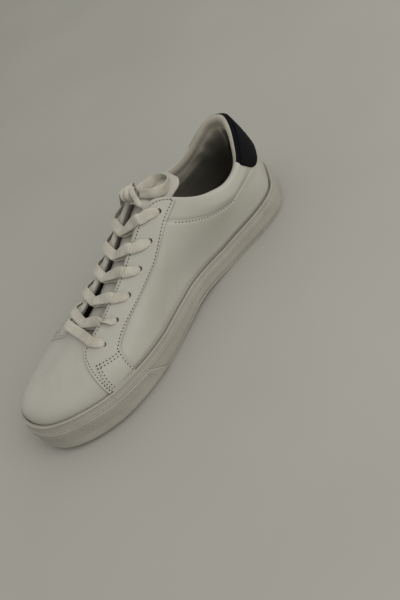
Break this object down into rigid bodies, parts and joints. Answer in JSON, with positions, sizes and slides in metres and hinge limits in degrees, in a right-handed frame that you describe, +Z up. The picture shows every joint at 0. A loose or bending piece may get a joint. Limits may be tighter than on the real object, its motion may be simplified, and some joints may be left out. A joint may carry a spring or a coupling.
{
  "type": "low-top lace-up sneaker",
  "caption": "Left low-top court sneaker with a hollow leather upper, cupped rubber sole, tongue, crossed flat laces and a tied bow.",
  "frame": {"origin": "on the floor under the middle of the sole's length and width, with the shoe standing on its tread", "axes": "+Y from toe to heel, +X towards the outer side of the left foot, +Z up"},
  "size_m": [0.1022, 0.2941, 0.1014],
  "materials": {
    "sole_rubber": "matt moulded rubber",
    "smooth_leather": "smooth coated leather, low sheen",
    "lining_cloth": "matt knitted cloth",
    "heel_cloth": "matt dark woven cloth",
    "woven_lace": "flat woven tape"
  },
  "bodies": {
    "root": {"outsole": "sole_rubber", "foxing_band": "sole_rubber", "foxing_strip": "sole_rubber", "toe_bumper": "sole_rubber", "insole": "lining_cloth", "upper": "smooth_leather", "eyestay_outer": "smooth_leather", "eyestay_inner": "smooth_leather", "patch_outer": "smooth_leather", "patch_inner": "smooth_leather", "heel_tab": "heel_cloth", "tongue": "lining_cloth", "lace_bar_1": "woven_lace", "lace_cross_2": "woven_lace", "lace_cross_3": "woven_lace", "lace_cross_4": "woven_lace", "lace_cross_5": "woven_lace", "lace_cross_6": "woven_lace", "lace_bar_top": "woven_lace", "lace_knot": "woven_lace", "lace_loop_outer": "woven_lace", "lace_tail_outer": "woven_lace", "lace_loop_inner": "woven_lace"}
  },
  "joints": []
}
